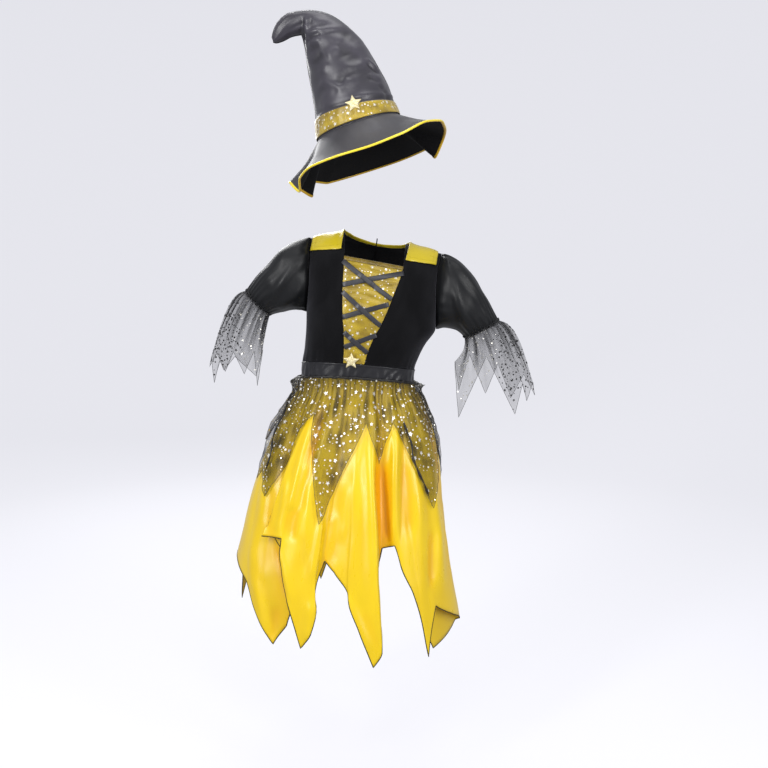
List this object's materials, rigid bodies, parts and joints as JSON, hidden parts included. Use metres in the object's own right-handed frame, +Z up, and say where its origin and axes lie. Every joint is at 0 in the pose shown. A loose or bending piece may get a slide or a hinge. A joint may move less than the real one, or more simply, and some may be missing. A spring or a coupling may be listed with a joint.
{
  "type": "witch costume",
  "caption": "Child's witch costume: dress with laced velvet bodice, puff sleeves with net frills and a zigzag satin skirt under a star net, and a pointed hat with a bent tip.",
  "frame": {"origin": "middle of the neck base inside the neck opening, where the wearer's shoulders hold the dress up", "axes": "+X to the wearer's left, -Y to the front, +Z up"},
  "size_m": [0.583, 0.3535, 1.0889],
  "materials": {
    "black_velvet": "short black pile that swallows light",
    "black_satin": "soft black satin with a dull sheen",
    "ribbon_satin": "dark grey ribbon",
    "gold_satin": "glossy gold satin, stitched near its edges",
    "gold_star_net": "gold satin under a net with printed stars",
    "yellow_satin": "bright glossy yellow satin with a black overlocked hem",
    "dark_star_net": "fine dark net with printed stars and dots",
    "dark_net_over_yellow": "fine black star net that lies over yellow satin",
    "gold_glitter": "pale gold glitter",
    "hat_satin": "dark violet grey satin",
    "yellow_binding": "bright yellow binding"
  },
  "bodies": {
    "root": {"bodice_front_right": "black_velvet", "bodice_front_left": "black_velvet", "bodice_back_right": "black_velvet", "bodice_back_left": "black_velvet", "collar_right": "gold_satin", "collar_left": "gold_satin", "front_panel": "gold_star_net", "waistband": "black_satin", "lace_top_down": "ribbon_satin", "lace_top_up": "ribbon_satin", "lace_mid_down": "ribbon_satin", "lace_mid_up": "ribbon_satin", "lace_low_down": "ribbon_satin", "lace_low_up": "ribbon_satin", "waist_star": "gold_glitter", "sleeve_right": "black_satin", "sleeve_left": "black_satin", "cuff_frill_right": "dark_star_net", "cuff_frill_left": "dark_star_net", "skirt_front": "yellow_satin", "skirt_back": "yellow_satin", "overskirt_front": "dark_net_over_yellow", "overskirt_back": "dark_net_over_yellow", "hat_cone_front": "hat_satin", "hat_cone_back": "hat_satin", "hat_band": "gold_star_net", "hat_brim": "hat_satin", "brim_binding": "yellow_binding", "hat_star": "gold_glitter"}
  },
  "joints": []
}
